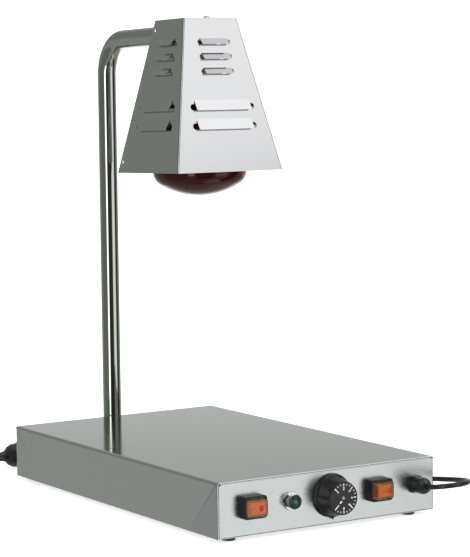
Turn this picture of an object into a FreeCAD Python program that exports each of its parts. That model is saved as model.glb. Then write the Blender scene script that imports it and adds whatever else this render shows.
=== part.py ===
import FreeCAD, Part
import math
import os

# Heat lamp warmer: a heated steel base, a bent lamp post on its back wall and a louvred lamp shade.
# Millimetres. +Z is up, the control panel faces -Y, and the origin is on the floor,
# at the middle of the standing object without its power cord.

V = FreeCAD.Vector
X = V(1, 0, 0)
Y = V(0, 1, 0)
Z = V(0, 0, 1)

# ---- base: plate, body and feet ----
plate_w = 325.0             # across, along X
plate_d = 530.0             # front to back, along Y
body_h = 69.0               # folded body, from its underside to the plate's top
sheet = 1.0                 # stainless sheet of the body
plate_bend = 4.0            # outer radius of the plate's long edges
panel_bend = 2.5            # outer radius of the front and back panels' corners
panel_fold = 1.8            # outer radius of their top and bottom edges
mitre_foot = 68.0           # length of a panel's ear along the underside
mitre_head = 5.0            # length of a panel's ear at its top corner
mitre_gap = 0.45            # open seam beside an ear
seam_gap = 0.2              # between the plate and a panel's top flange
flange_w = 14.0             # inward flanges of the body
cover_inset = 4.0           # bottom cover, in from the body's outside
cover_t = 1.0
foot_r = 10.0
foot_h = 5.0                # below the bottom cover
foot_taper = 1.5
foot_inset_x = 27.0
foot_inset_y = 20.0
foot_screw_r = 2.0
foot_screw_head_r = 3.8
foot_screw_l = 9.0
cover_screw_r = 1.5
cover_screw_head_r = 3.2
cover_screw_head_h = 1.6
cover_screw_l = 6.0

# ---- heating and wiring inside the base ----
spreader_w = 285.0
spreader_t = 1.5
heater_w = 265.0
heater_inset = 6.0          # heater, in from the spreader's ends
heater_t = 2.0
insulation_t = 12.0
insulation_margin = 4.0     # more than the heater on each side
control_bay = 58.0          # free depth behind the control panel
back_bay = 17.0             # free depth in front of the back panel
terminal_w = 46.0
terminal_d = 22.0
terminal_h = 17.0
wire_r = 1.5

# ---- controls on the front panel ----
control_z = 36.0            # centre line of the controls above the body's underside
switch_1_x = -115.5
pilot_x = -57.5
knob_x = 3.0
switch_2_x = 73.0
gland_x = 132.0

switch_w = 33.0
switch_h = 28.0
switch_out = 12.0           # frame's height off the panel
switch_corner = 4.0
switch_edge = 1.2
switch_bay_w = 30.4         # opening that the rocker moves in
switch_bay_h = 23.0
switch_body_w = 29.4
switch_body_h = 21.4
switch_body_l = 24.0
switch_floor = 2.0          # frame's floor in front of the panel
rocker_angle = 10.0         # to each side of the middle
rocker_pivot = 8.0          # pivot line in front of the panel
rocker_w = 22.4
rocker_h = 15.4
rocker_front = 8.6          # rocker's face in front of the pivot line
rocker_back = 2.6
cover_w = 28.0              # soft cover over the rocker
cover_h = 21.4
cover_front = 10.0
cover_skirt = 0.6           # cover's rim in front of the pivot line
cover_wall = 1.3
cover_corner = 3.4
blade_w = 6.3
blade_t = 0.8
blade_l = 9.0

pilot_flange_r = 11.6
pilot_flange_t = 2.2
pilot_r = 9.4
pilot_out = 10.0
pilot_groove = 1.0
pilot_ring_r = 8.6
pilot_ring_out = 13.0
pilot_lens_r = 3.6
pilot_thread_r = 6.8
pilot_thread_l = 22.0
pilot_nut_af = 17.0
pilot_nut_t = 3.0

knob_gap = 0.8              # between knob and panel
knob_skirt_r = 27.5
knob_skirt_t = 5.0
knob_grip_r = 24.5
knob_top_r = 20.6
knob_out = 27.0             # dial face in front of the panel
knob_wall = 2.5
knob_boss_r = 6.0
knob_nub_l = 2.4
knob_nub_w = 5.0
dial_r = 19.4
dial_t = 0.6
knob_screw_r = 3.0
shaft_r = 3.0
shaft_fit = 0.05            # radial clearance of shaft in bush and knob
bush_r = 4.6
bush_l = 6.0
thermostat_w = 34.0
thermostat_h = 34.0
thermostat_l = 26.0
sensor_r = 3.0
sensor_l = 90.0

gland_af = 21.0
gland_hex_t = 5.0
gland_nut_r = 10.4
gland_nut_l = 15.0
gland_dome_l = 7.0
gland_mouth_r = 5.2
gland_ribs = 12
gland_thread_r = 7.9
gland_thread_l = 9.0
locknut_af = 19.0
locknut_t = 3.5

# ---- lamp post ----
post_r = 13.0
post_wall = 1.2
post_gap = 0.4              # between post and back panel
post_bottom = 9.0           # height of the post's lower end
arm_z = 609.6               # height where the post's and the arm's centre lines cross
arm_rise = 1.5              # degrees that the arm climbs towards the shade
post_bend = 50.0            # radius of the bend's centre line
post_cap_t = 3.0
strap_w = 14.0
strap_t = 1.5
strap_ear = 15.0
strap_z = (22.0, 54.0)
strap_gap = 0.2
strap_screw_r = 2.0
strap_screw_head_r = 3.8
strap_screw_head_h = 2.2
strap_screw_l = 8.0
grommet_z = 38.0
grommet_r = 5.5
grommet_lip = 1.6
lead_r = 2.8

# ---- lamp shade, in the frame of a level arm ----
shade_back_off = 244.0      # from the post's centre line to the shade's axis
shade_z = 426.5             # lower rim
shade_h = 200.5
shade_w0 = 162.0            # width and depth at the rim
shade_d0 = 156.0
shade_w1 = 82.0             # width and depth at the top
shade_d1 = 74.0
shade_sheet = 0.8
shade_wrap = 3.2            # front panel's return round the corner
shade_fold = 2.0            # outer radius of that fold
shade_seam = 0.25
shade_flange = 12.0         # inner flanges behind the side panels
shade_screw_r = 1.7
shade_screw_head_r = 3.3
shade_screw_head_h = 2.0
shade_screw_l = 5.0
shade_screw_in = 5.2        # from the back edge
shade_screw_ends = (13.0, 14.5)     # below the top and above the rim
top_screw_in = 11.0
top_screw_head_r = 5.0
top_screw_head_h = 3.4

louvre_bend = 4.0           # radius of a flap's bend at its hinge edge
short_flap_angle = 30.0     # slope of the flaps, in degrees off the panel
long_flap_angle = 19.0
short_louvre_w = 50.0
short_louvre_h = 9.0
short_slot_h = 6.6          # open slot along the louvre's lower side
short_louvre_end = 4.0      # rounded end of the slot beside the flap
short_louvre_z = (170.8, 151.5, 132.2)      # above the rim
long_louvre_w = 98.0
long_louvre_h = 13.5
long_slot_h = 8.6
long_louvre_end = 7.0
long_louvre_z = (87.0, 62.0)
side_louvre_trim = 6.0      # side panels' long louvres are this much shorter
flap_corner = 1.4
flap_hinge = 1.0            # bend line above the slot's upper edge
flap_overlap = 0.8          # flap's lower edge below the slot's

arm_end_in = 18.0           # arm's end inside the back panel
arm_hole_gap = 0.3
arm_flange_w = 56.0
arm_flange_h = 31.0
arm_flange_t = 2.0
arm_flange_corner = 5.0
arm_bolt_x = 21.0
arm_bolt_z = 9.0

# ---- lamp ----
bulb_out = 31.8             # bulb below the shade's rim
bulb_r = 62.5
bulb_dome_r = 100.0         # radius of the front's shallow dome
bulb_edge_r = 20.0          # rounded edge between the dome and the reflector
bulb_neck_r = 17.0
bulb_neck_z = 128.0
bulb_len = 148.0
bulb_wall = 1.2
cap_r = 13.4
cap_len = 26.0
cap_ridge = 0.7
holder_r = 21.0
holder_neck_r = 15.0
holder_len = 50.0
holder_over = 4.0           # holder's rim over the bulb's neck
holder_wall = 4.5
bracket_w = 16.0
bracket_t = 1.5
bracket_half = 19.0

# ---- power cord ----
cord_r = 3.3
coil_r = 36.0               # middle of the coil's turns
coil_half_w = 7.0
coil_h = 13.6
coil_x = 62.0
coil_back = 105.5           # coil's centre behind the back panel
plug_r = 18.6
plug_len = 34.0
plug_tail_r = 6.6
plug_tail_len = 20.0
plug_pin_r = 2.4
plug_pin_l = 19.0
plug_pin_gap = 19.0
plug_x = -104.0             # face with the pins
plug_back = 81.5            # plug's axis behind the back panel

# The origin lies midway between the dial's face and the back of the post.
back_reach = post_gap + 2 * post_r + strap_t + strap_gap
plate_y = (knob_out - back_reach) / 2
front_y = plate_y - plate_d / 2
back_y = plate_y + plate_d / 2
body_z = foot_h + cover_t
top_z = body_z + body_h
panel_top = top_z - sheet - seam_gap
controls_z = body_z + control_z
half_w = plate_w / 2
post_y = back_y + post_gap + post_r
shade_y = post_y - shade_back_off
shade_top_z = shade_z + shade_h
pivot = V(0, post_y, arm_z)
coil_y = back_y + coil_back
plug_y = back_y + plug_back

nodes = {}


# ---- small helpers ----
def block(x0, x1, y0, y1, z0, z1):
    return Part.makeBox(x1 - x0, y1 - y0, z1 - z0, V(x0, y0, z0))


def rod(radius, start, direction, length):
    return Part.makeCylinder(radius, length, start, direction)


def pipe(outer, inner, start, direction, length):
    return rod(outer, start, direction, length).cut(rod(inner, start, direction, length))


def face_of(points):
    return Part.Face(Part.makePolygon(list(points) + [points[0]]))


def hexagon(across_flats, start, direction, length):
    """Hexagonal prism standing on start."""
    corner = across_flats / math.sqrt(3)
    ring = [V(corner * math.cos(math.radians(a)), corner * math.sin(math.radians(a)), 0)
            for a in range(0, 360, 60)]
    prism = face_of(ring).extrude(V(0, 0, length))
    return stand(prism, start, direction)


def stand(shape, start, direction):
    """Turn a shape built along +Z so that it stands on start along direction."""
    place = FreeCAD.Placement(start, FreeCAD.Rotation(Z, direction))
    shape.Placement = place.multiply(shape.Placement)
    return shape


def on_face(shape, origin, across, up):
    """Put a shape built in a local frame (across, up, outward) onto a face."""
    outward = across.cross(up)
    place = FreeCAD.Placement(origin, FreeCAD.Rotation(across, up, outward, "XYZ"))
    shape.Placement = place.multiply(shape.Placement)
    return shape


def stadium(width, height, z0, z1):
    """Slot with round ends, in the XY plane."""
    radius = height / 2
    run = width / 2 - radius
    middle = block(-run, run, -radius, radius, z0, z1)
    ends = [rod(radius, V(side * run, 0, z0), Z, z1 - z0) for side in (-1, 1)]
    return middle.multiFuse(ends).removeSplitter()


def round_block(width, height, depth, corner):
    """Block with rounded corners in the XY plane, standing on z = 0."""
    shape = block(-width / 2, width / 2, -height / 2, height / 2, 0, depth)
    upright = [e for e in shape.Edges if abs(e.tangentAt(e.FirstParameter).z) > 0.99]
    return shape.makeFillet(corner, upright)


def soften(shape, radius, test):
    """Fillet the edges whose middle passes the test."""
    edges = [e for e in shape.Edges if test(e.valueAt((e.FirstParameter + e.LastParameter) / 2))]
    return shape.makeFillet(radius, edges)


def turned(profile, start, direction):
    """Solid of revolution from (radius, height) points, on start along direction."""
    face = face_of([V(r, 0, h) for r, h in profile])
    return stand(face.revolve(V(0, 0, 0), Z, 360), start, direction)


def on_panel(x, out=0.0):
    """A point on a control's centre line, this far in front of the panel."""
    return V(x, front_y - out, controls_z)


def corners(x, y):
    return [(sx * x, sy * y) for sx in (-1, 1) for sy in (-1, 1)]


def group(shapes):
    return Part.makeCompound(shapes)


def add(name, shape):
    nodes[name] = shape


def add_head(name, shape):
    """Parts on the arm are built level, and turned with the arm's rise."""
    tilted = shape.copy()
    tilted.rotate(pivot, X, -arm_rise)
    nodes[name] = tilted


# ---- body ----
def ear_prism(grow, y_wall, into):
    """Prism that bounds a panel's mitred ears, seen from the side."""
    head_z = top_z - plate_bend
    outline = [V(0, 0, body_z - grow), V(0, mitre_foot + grow, body_z - grow),
               V(0, mitre_head + grow, head_z + grow), V(0, 0, head_z + grow)]
    points = [V(-half_w - 1, y_wall + into * p.y, p.z) for p in outline]
    return face_of(points).extrude(V(plate_w + 2, 0, 0))


def plate_and_sides():
    """The plate and both side walls, folded from one sheet."""
    outer = block(-half_w, half_w, front_y, back_y, body_z, top_z)
    outer = soften(outer, plate_bend, lambda p: abs(p.y - plate_y) < 1 and p.z > top_z - 1)
    inner = block(-half_w + sheet, half_w - sheet, front_y, back_y, body_z - 1, top_z - sheet)
    inner = soften(inner, plate_bend - sheet,
                   lambda p: abs(p.y - plate_y) < 1 and p.z > top_z - sheet - 1)
    shell = outer.cut(inner)
    for side in (-1, 1):
        edge = side * (half_w - sheet)
        turn_in = side * (half_w - flange_w)
        low, high = sorted((edge, turn_in))
        shell = shell.fuse(block(low, high, front_y + mitre_foot + 1, back_y - mitre_foot - 1,
                                 body_z, body_z + sheet))
    shell = shell.cut(ear_prism(mitre_gap, front_y, 1))
    return shell.cut(ear_prism(mitre_gap, back_y, -1)).removeSplitter()


def end_panel(y_wall, into):
    """Front or back panel: a wall with mitred ears and flanges above and below."""
    low, high = sorted((y_wall, y_wall + into * (mitre_foot + 1)))
    outer = block(-half_w, half_w, low, high, body_z, panel_top)
    outer = soften(outer, panel_bend,
                   lambda p: abs(p.y - y_wall) < 0.01 and abs(abs(p.x) - half_w) < 0.01)
    in_low, in_high = sorted((y_wall + into * sheet, y_wall + into * (mitre_foot + 3)))
    inner = block(-half_w + sheet, half_w - sheet, in_low, in_high, body_z - 1, panel_top + 1)
    reach = half_w - plate_bend - seam_gap
    between = block(-reach, reach, low - 1, high + 1, body_z - 1, panel_top + 1)
    ears = outer.cut(inner).common(ear_prism(0, y_wall, into)).cut(between)
    return ears.fuse(flanged_wall(y_wall, into, reach)).removeSplitter()


def flanged_wall(y_wall, into, reach):
    """Straight channel: the wall between the corners, bent inwards above and below."""
    low, high = sorted((y_wall, y_wall + into * flange_w))
    in_low, in_high = sorted((y_wall + into * sheet, y_wall + into * (flange_w + 1)))
    outer = block(-reach, reach, low, high, body_z, panel_top)
    outer = soften(outer, panel_fold, lambda p: abs(p.y - y_wall) < 0.01 and abs(p.x) < 1)
    inner = block(-reach - 1, reach + 1, in_low, in_high, body_z + sheet, panel_top - sheet)
    inner = soften(inner, panel_fold - sheet,
                   lambda p: abs(p.y - y_wall - into * sheet) < 0.01 and abs(p.x) < 1)
    return outer.cut(inner)


def panel_bores():
    """Holes of the controls in the front panel."""
    cuts = [on_face(round_block(switch_body_w + 0.4, switch_body_h + 0.4, 4, 1.0),
                    on_panel(x, -2), X, Z) for x in (switch_1_x, switch_2_x)]
    for x, radius in ((pilot_x, pilot_thread_r), (knob_x, bush_r), (gland_x, gland_thread_r)):
        cuts.append(rod(radius + 0.1, on_panel(x, 3), Y, 6))
    return cuts


def back_bores():
    cuts = [rod(grommet_r - grommet_lip, V(0, back_y - 3, grommet_z), Y, 6)]
    for x, z in strap_screw_places():
        cuts.append(rod(strap_screw_r, V(x, back_y - 3, z), Y, 6))
    return cuts


def strap_screw_places():
    return [(side * (post_r + strap_t + strap_ear / 2), z) for side in (-1, 1) for z in strap_z]


def cover_screw_places():
    edge = cover_inset + flange_w / 2
    return [(sx * (half_w - edge), plate_y) for sx in (-1, 1)] + \
           [(x, plate_y + sy * (plate_d / 2 - edge)) for sy in (-1, 1)
            for x in (-half_w + 60, 0, half_w - 60)]


def foot_places():
    return [(x, plate_y + y) for x, y in
            corners(half_w - foot_inset_x, plate_d / 2 - foot_inset_y)]


def bottom_cover():
    w = half_w - cover_inset
    d = plate_d / 2 - cover_inset
    cover = block(-w, w, plate_y - d, plate_y + d, foot_h, body_z)
    holes = [rod(foot_screw_r, V(x, y, foot_h - 1), Z, 4) for x, y in foot_places()]
    holes += [rod(cover_screw_r, V(x, y, foot_h - 1), Z, 4) for x, y in cover_screw_places()]
    return cover.cut(group(holes))


def rubber_foot(x, y):
    profile = [(foot_screw_r, foot_h), (foot_r, foot_h), (foot_r - foot_taper, 0),
               (foot_screw_head_r + 0.6, 0), (foot_screw_head_r + 0.6, 2.4), (foot_screw_r, 2.4)]
    return turned(profile, V(x, y, 0), Z)


def foot_screw(x, y):
    head = rod(foot_screw_head_r, V(x, y, 0.6), Z, 1.8)
    return head.fuse(rod(foot_screw_r, V(x, y, 2.4), Z, foot_screw_l))


def dome_screw(head_r, head_h, shank_r, shank_l):
    """Screw with a domed, slotted head on z = 0 and its shank below."""
    ball_r = (head_r ** 2 + head_h ** 2) / (2 * head_h)
    ball = Part.makeSphere(ball_r, V(0, 0, head_h - ball_r))
    head = ball.common(rod(head_r, V(0, 0, 0), Z, head_h))
    slot = block(-head_r, head_r, -0.4, 0.4, head_h * 0.45, head_h + 1)
    return head.cut(slot).fuse(rod(shank_r, V(0, 0, -shank_l), Z, shank_l + 0.2))


def build_body():
    add("plate_and_sides", plate_and_sides())
    add("front_panel", end_panel(front_y, 1).cut(group(panel_bores())))
    add("back_panel", end_panel(back_y, -1).cut(group(back_bores())))
    flange_holes = [rod(cover_screw_r, V(x, y, body_z - 1), Z, 4) for x, y in cover_screw_places()]
    for name in ("plate_and_sides", "front_panel", "back_panel"):
        nodes[name] = nodes[name].cut(group(flange_holes))
    add("bottom_cover", bottom_cover())
    down = V(0, 0, -1)
    add("cover_screws", group([
        stand(dome_screw(cover_screw_head_r, cover_screw_head_h, cover_screw_r, cover_screw_l),
              V(x, y, foot_h), down) for x, y in cover_screw_places()]))
    add("rubber_feet", group([rubber_foot(x, y) for x, y in foot_places()]))
    add("foot_screws", group([foot_screw(x, y) for x, y in foot_places()]))


# ---- heating and wiring ----
def build_heating():
    """Spreader, heater and insulation under the plate, between the control bay and the back."""
    near = front_y + control_bay
    far = back_y - back_bay
    middle_y = (near + far) / 2
    z = top_z - sheet
    layers = (("heat_spreader", spreader_w, 0, spreader_t),
              ("heater_mat", heater_w, heater_inset, heater_t),
              ("insulation_board", heater_w + 2 * insulation_margin,
               heater_inset - insulation_margin, insulation_t))
    for name, w, inset, t in layers:
        add(name, block(-w / 2, w / 2, near + inset, far - inset, z - t, z))
        z -= t
    below = z
    term_y = near - terminal_d / 2
    block_shape = block(-terminal_w / 2, terminal_w / 2, term_y, term_y + terminal_d,
                        body_z, body_z + terminal_h)
    pitch = terminal_w / 4
    wells = [rod(2.2, V(-terminal_w / 2 + pitch * (i + 0.5), term_y + terminal_d / 2,
                        body_z + terminal_h - 5), Z, 6) for i in range(4)]
    add("terminal_block", block_shape.cut(group(wells)))
    sensor = rod(sensor_r, V(knob_x + 60, middle_y, below - sensor_r), Y, sensor_l)
    add("thermostat_sensor", sensor)
    run_z = body_z + terminal_h / 2
    wires = [rod(wire_r, V(-terminal_w / 2 + pitch * (i + 0.5), term_y + terminal_d, run_z), Y,
                 back_y - 60 - term_y - terminal_d) for i in range(3)]
    add("base_wires", group(wires))


# ---- controls ----
def switch_frame(x):
    outer = round_block(switch_w, switch_h, switch_out, switch_corner)
    outer = soften(outer, switch_edge, lambda p: p.z > switch_out - 0.01)
    bay = round_block(switch_bay_w, switch_bay_h, switch_out, cover_corner)
    bay.translate(V(0, 0, switch_floor))
    return on_face(outer.cut(bay), on_panel(x), X, Z)


def switch_body(x):
    """Contact case behind the panel, with three blade terminals."""
    case = round_block(switch_body_w, switch_body_h, switch_body_l, 1.0)
    blades = [block(px - blade_t / 2, px + blade_t / 2, -blade_w / 2, blade_w / 2,
                    -blade_l, 0.5) for px in (-8, 0, 8)]
    case = case.multiFuse(blades)
    return on_face(case, on_panel(x, -switch_body_l), X, Z)


def rocked(shape, x, side):
    """Place a part built about the rocker's pivot, tipped to one side."""
    placed = on_face(shape, on_panel(x, rocker_pivot), X, Z)
    placed.rotate(on_panel(x, rocker_pivot), Z, side * rocker_angle)
    return placed


def rocker(x, side):
    body = round_block(rocker_w, rocker_h, rocker_front + rocker_back, 1.5)
    body.translate(V(0, 0, -rocker_back))
    body = soften(body, 0.8, lambda p: p.z > rocker_front - 0.01)
    return rocked(body, x, side)


def rocker_cover(x, side):
    """Soft cover: a thin box, open behind, over the rocker."""
    depth = cover_front - cover_skirt
    outer = round_block(cover_w, cover_h, depth, cover_corner)
    outer = soften(outer, 1.0, lambda p: p.z > depth - 0.01)
    inner = round_block(cover_w - 2 * cover_wall, cover_h - 2 * cover_wall,
                        depth - cover_wall + 1, cover_corner - cover_wall)
    inner.translate(V(0, 0, -1))
    shell = outer.cut(inner)
    shell.translate(V(0, 0, cover_skirt))
    return rocked(shell, x, side)


def build_switch(number, x, side):
    name = "switch_%d_" % number
    add(name + "frame", switch_frame(x))
    add(name + "body", switch_body(x))
    add(name + "rocker", rocker(x, side))
    add(name + "cover", rocker_cover(x, side))


def build_pilot():
    out = V(0, -1, 0)
    profile = [(pilot_ring_r + 0.2, 0), (pilot_flange_r - 0.6, 0), (pilot_flange_r, 0.8),
               (pilot_flange_r - 0.8, pilot_flange_t), (pilot_r, pilot_flange_t),
               (pilot_r, 4.6), (pilot_r - pilot_groove, 5.0), (pilot_r - pilot_groove, 6.2),
               (pilot_r, 6.6), (pilot_r, pilot_out - 0.8), (pilot_r - 0.6, pilot_out),
               (pilot_ring_r + 0.2, pilot_out)]
    add("pilot_bezel", turned(profile, on_panel(pilot_x), out))
    body = [(0, -pilot_thread_l), (pilot_thread_r - 0.2, -pilot_thread_l),
            (pilot_thread_r - 0.2, 0), (pilot_ring_r, 0), (pilot_ring_r, pilot_ring_out - 1.4),
            (pilot_ring_r - 1.4, pilot_ring_out), (pilot_lens_r + 0.3, pilot_ring_out),
            (pilot_lens_r, pilot_ring_out - 1.2), (0, pilot_ring_out - 1.2)]
    add("pilot_body", turned(body, on_panel(pilot_x), out))
    lens_h = 2.0
    ball_r = (pilot_lens_r ** 2 + lens_h ** 2) / (2 * lens_h)
    ball = Part.makeSphere(ball_r, V(0, 0, lens_h - ball_r))
    lens = ball.common(rod(pilot_lens_r - 0.1, V(0, 0, 0), Z, lens_h))
    add("pilot_lens", stand(lens, on_panel(pilot_x, pilot_ring_out - 1.2), out))
    nut = hexagon(pilot_nut_af, on_panel(pilot_x, -sheet - pilot_nut_t), out, pilot_nut_t)
    add("pilot_nut", nut.cut(rod(pilot_thread_r - 0.1, on_panel(pilot_x, -sheet), Y, pilot_nut_t)))


def build_knob():
    out = V(0, -1, 0)
    face = knob_out - dial_t
    outline = [(shaft_r + shaft_fit, knob_gap + 6), (knob_boss_r, knob_gap + 6),
               (knob_boss_r, face - knob_wall), (knob_top_r - knob_wall, face - knob_wall),
               (knob_grip_r - knob_wall, knob_gap + knob_skirt_t), (knob_grip_r - knob_wall, knob_gap),
               (knob_skirt_r - 0.4, knob_gap), (knob_skirt_r, knob_gap + 1.0),
               (knob_skirt_r - 0.6, knob_gap + knob_skirt_t - 1.2),
               (knob_grip_r + 0.8, knob_gap + knob_skirt_t), (knob_grip_r, knob_gap + 6.5),
               (knob_top_r + 0.7, face - 2.0), (knob_top_r, face + dial_t),
               (dial_r + 0.2, face + dial_t), (dial_r + 0.2, face), (shaft_r + shaft_fit, face)]
    knob = turned(outline, on_panel(knob_x), out)
    nub_base = knob_skirt_r - 1.2
    nub = face_of([V(-knob_nub_w / 2, -nub_base, 0), V(knob_nub_w / 2, -nub_base, 0),
                   V(0, -knob_skirt_r - knob_nub_l, 0)]).extrude(V(0, 0, 2.6))
    nub = on_face(nub, on_panel(knob_x, knob_gap + 0.6), X, Z)
    add("knob", knob.fuse(nub).removeSplitter())
    dial = rod(dial_r, on_panel(knob_x, face), out, dial_t)
    add("knob_dial", dial.cut(rod(knob_screw_r + 0.1, on_panel(knob_x, face), out, dial_t)))
    screw = dome_screw(knob_screw_r, 1.2, shaft_r - 1.2, 4.0)
    add("knob_screw", stand(screw, on_panel(knob_x, face), out))
    shaft = rod(shaft_r, on_panel(knob_x, face), Y, face + 8)
    shaft = shaft.cut(rod(shaft_r - 1.1, on_panel(knob_x, face), Y, 5.0))
    add("thermostat_shaft", shaft)
    inside = sheet
    case = round_block(thermostat_w, thermostat_h, thermostat_l, 2.0)
    case = on_face(case, on_panel(knob_x, -inside - thermostat_l), X, Z)
    bush = rod(bush_r, on_panel(knob_x, bush_l - 1), Y, bush_l + 3)
    bore = rod(shaft_r + shaft_fit, on_panel(knob_x, bush_l), Y, bush_l + 12)
    add("thermostat_body", case.fuse(bush).cut(bore))


def ribbed_nut():
    """Domed clamping nut with shallow ribs, built along +Z."""
    length = gland_nut_l + gland_dome_l
    dome_z = gland_nut_l
    profile = [(cord_r + 0.1, 0), (gland_nut_r, 0), (gland_nut_r, dome_z),
               (gland_nut_r - 1.2, dome_z + gland_dome_l * 0.45),
               (gland_nut_r - 3.0, dome_z + gland_dome_l * 0.8),
               (gland_mouth_r, length), (cord_r + 1.0, length), (cord_r + 0.1, length - 2)]
    nut = turned(profile, V(0, 0, 0), Z)
    grooves = []
    for i in range(gland_ribs):
        angle = 2 * math.pi * i / gland_ribs
        reach = gland_nut_r + 0.5
        grooves.append(rod(1.1, V(reach * math.cos(angle), reach * math.sin(angle), 2.5),
                           Z, length))
    return nut.cut(group(grooves))


def build_gland():
    out = V(0, -1, 0)
    hex_body = hexagon(gland_af, on_panel(gland_x), out, gland_hex_t)
    thread = rod(gland_thread_r, on_panel(gland_x, 0.2), Y, gland_thread_l + 0.2)
    bore = rod(cord_r + 0.1, on_panel(gland_x, gland_hex_t), Y, gland_thread_l + gland_hex_t + 1)
    add("gland_body", hex_body.fuse(thread).cut(bore))
    add("gland_nut", stand(ribbed_nut(), on_panel(gland_x, gland_hex_t), out))
    nut = hexagon(locknut_af, on_panel(gland_x, -sheet - locknut_t), out, locknut_t)
    bore = rod(gland_thread_r + 0.05, on_panel(gland_x, -sheet), Y, locknut_t)
    add("gland_locknut", nut.cut(bore))


# ---- post ----
def arm_direction():
    rise = math.radians(arm_rise)
    return V(0, -math.cos(rise), math.sin(rise))


def back_half_depth(z):
    """Half the shade's depth at a height in the level frame."""
    share = (z - shade_z) / shade_h
    return (shade_d0 + (shade_d1 - shade_d0) * share) / 2


def half_width(z):
    share = (z - shade_z) / shade_h
    return (shade_w0 + (shade_w1 - shade_w0) * share) / 2


def arm_length():
    return shade_back_off - back_half_depth(arm_z) + arm_end_in


def post_path(start_z, arm_len):
    """Centre line: up from start_z, round the bend, along the arm."""
    direction = arm_direction()
    half_turn = math.radians(90 - arm_rise) / 2
    tangent = post_bend * math.tan(half_turn)
    low = V(0, post_y, arm_z - tangent)
    far = pivot + direction * tangent
    bisector = direction - Z
    bisector.normalize()
    centre = pivot + bisector * (post_bend / math.cos(half_turn))
    middle = centre - bisector * post_bend
    end = pivot + direction * arm_len
    return [Part.LineSegment(V(0, post_y, start_z), low).toShape(),
            Part.Arc(low, middle, far).toShape(), Part.LineSegment(far, end).toShape()]


def sweep(edges, radius):
    wire = Part.Wire(edges)
    start = edges[0].valueAt(edges[0].FirstParameter)
    direction = edges[0].tangentAt(edges[0].FirstParameter)
    circle = Part.Wire(Part.makeCircle(radius, start, direction))
    return wire.makePipeShell([circle], True, False, 2)


def strap(z):
    """Saddle strap round the post with an ear to each side."""
    outer = post_r + strap_gap + strap_t
    inner = post_r + strap_gap
    z0 = z - strap_w / 2
    centre = V(0, post_y, z0)
    ring = rod(outer, centre, Z, strap_w)
    legs = block(-outer, outer, back_y, post_y, z0, z0 + strap_w)
    hollow = rod(inner, centre, Z, strap_w).fuse(
        block(-inner, inner, back_y - 1, post_y, z0, z0 + strap_w))
    saddle = ring.fuse(legs).cut(hollow)
    saddle = saddle.cut(block(-50, 50, back_y - 60, back_y, z0 - 1, z0 + strap_w + 1))
    for side in (-1, 1):
        low, high = sorted((side * (outer - 0.3), side * (outer + strap_ear)))
        saddle = saddle.fuse(block(low, high, back_y, back_y + strap_t, z0, z0 + strap_w))
        hole_x = side * (post_r + strap_t + strap_ear / 2)
        saddle = saddle.cut(rod(strap_screw_r, V(hole_x, back_y - 1, z), Y, 4))
    return saddle.removeSplitter()


def build_post():
    arm_len = arm_length()
    outer = sweep(post_path(post_bottom, arm_len), post_r)
    inner = sweep(post_path(post_bottom - 1, arm_len + 1), post_r - post_wall)
    window = rod(grommet_r - grommet_lip, V(0, back_y - 1, grommet_z), Y, post_gap + post_r)
    add("lamp_post", outer.cut(inner).cut(window))
    cap = rod(post_r - post_wall - 0.1, V(0, post_y, post_bottom), Z, 6)
    cap = cap.fuse(rod(post_r, V(0, post_y, post_bottom - post_cap_t), Z, post_cap_t))
    add("post_cap", cap)
    add("post_straps", group([strap(z) for z in strap_z]))
    add("strap_screws", group([
        stand(dome_screw(strap_screw_head_r, strap_screw_head_h, strap_screw_r, strap_screw_l),
              V(x, back_y + strap_t, z), Y) for x, z in strap_screw_places()]))
    seat = back_y - sheet
    hole = grommet_r - grommet_lip
    neck = pipe(hole, lead_r + 0.1, V(0, seat - 1, grommet_z), Y, sheet + 1)
    lip = pipe(grommet_r, lead_r + 0.1, V(0, seat - 1.5, grommet_z), Y, 1.5)
    add("post_grommet", neck.fuse(lip).removeSplitter())


def lead_path():
    """Lamp lead: through the grommet, up the post, along the arm and down to the lampholder."""
    bend = 5.0
    run_in = V(0, back_y - 40, grommet_z)
    edges = []
    corner = V(0, post_y, grommet_z)
    a = corner - Y * bend
    b = corner + Z * bend
    mid = V(0, post_y - bend, grommet_z + bend) + V(0, bend, -bend) * math.sqrt(0.5)
    edges.append(Part.LineSegment(run_in, a).toShape())
    edges.append(Part.Arc(a, mid, b).toShape())
    edges += post_path(grommet_z + bend, arm_length() - 2)
    return edges


# ---- shade ----
def closed_polygon(points):
    return Part.makePolygon(points + [points[0]])


def folded_outline(points):
    """Closed outline whose first and last corners, both square, are folded round."""
    def fold(before, corner, after):
        u = (before - corner).normalize() * shade_fold
        v = (after - corner).normalize() * shade_fold
        middle = corner + (u + v) * (1 - math.sqrt(0.5))
        return corner + u, middle, corner + v

    first = fold(points[-1], points[0], points[1])
    last = fold(points[-2], points[-1], points[0])
    stops = [first[2]] + points[1:-1] + [last[0]]
    edges = [Part.Arc(*first).toShape()]
    edges += [Part.LineSegment(a, b).toShape() for a, b in zip(stops, stops[1:])]
    edges += [Part.Arc(*last).toShape(), Part.LineSegment(last[2], first[0]).toShape()]
    return Part.Wire(edges)


def column(section, z0, z1, outline=closed_polygon):
    """Solid between a section at z0 and at z1; section maps half width and depth to points."""
    wires = []
    for z in (z0, z1):
        points = [V(x, shade_y + y, z) for x, y in section(half_width(z), back_half_depth(z))]
        wires.append(outline(points))
    return Part.makeLoft(wires, True, True)


def front_section(a, b):
    """Front panel with returns round the corners and flanges behind the side panels."""
    t = shade_sheet
    right = [(a, -b), (a, -b + shade_wrap), (a - t - 0.1, -b + shade_wrap),
             (a - t - 0.1, -b + shade_flange), (a - 2 * t - 0.1, -b + shade_flange),
             (a - 2 * t - 0.1, -b + t)]
    left = [(-x, y) for x, y in reversed(right)]
    return right + left


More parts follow.
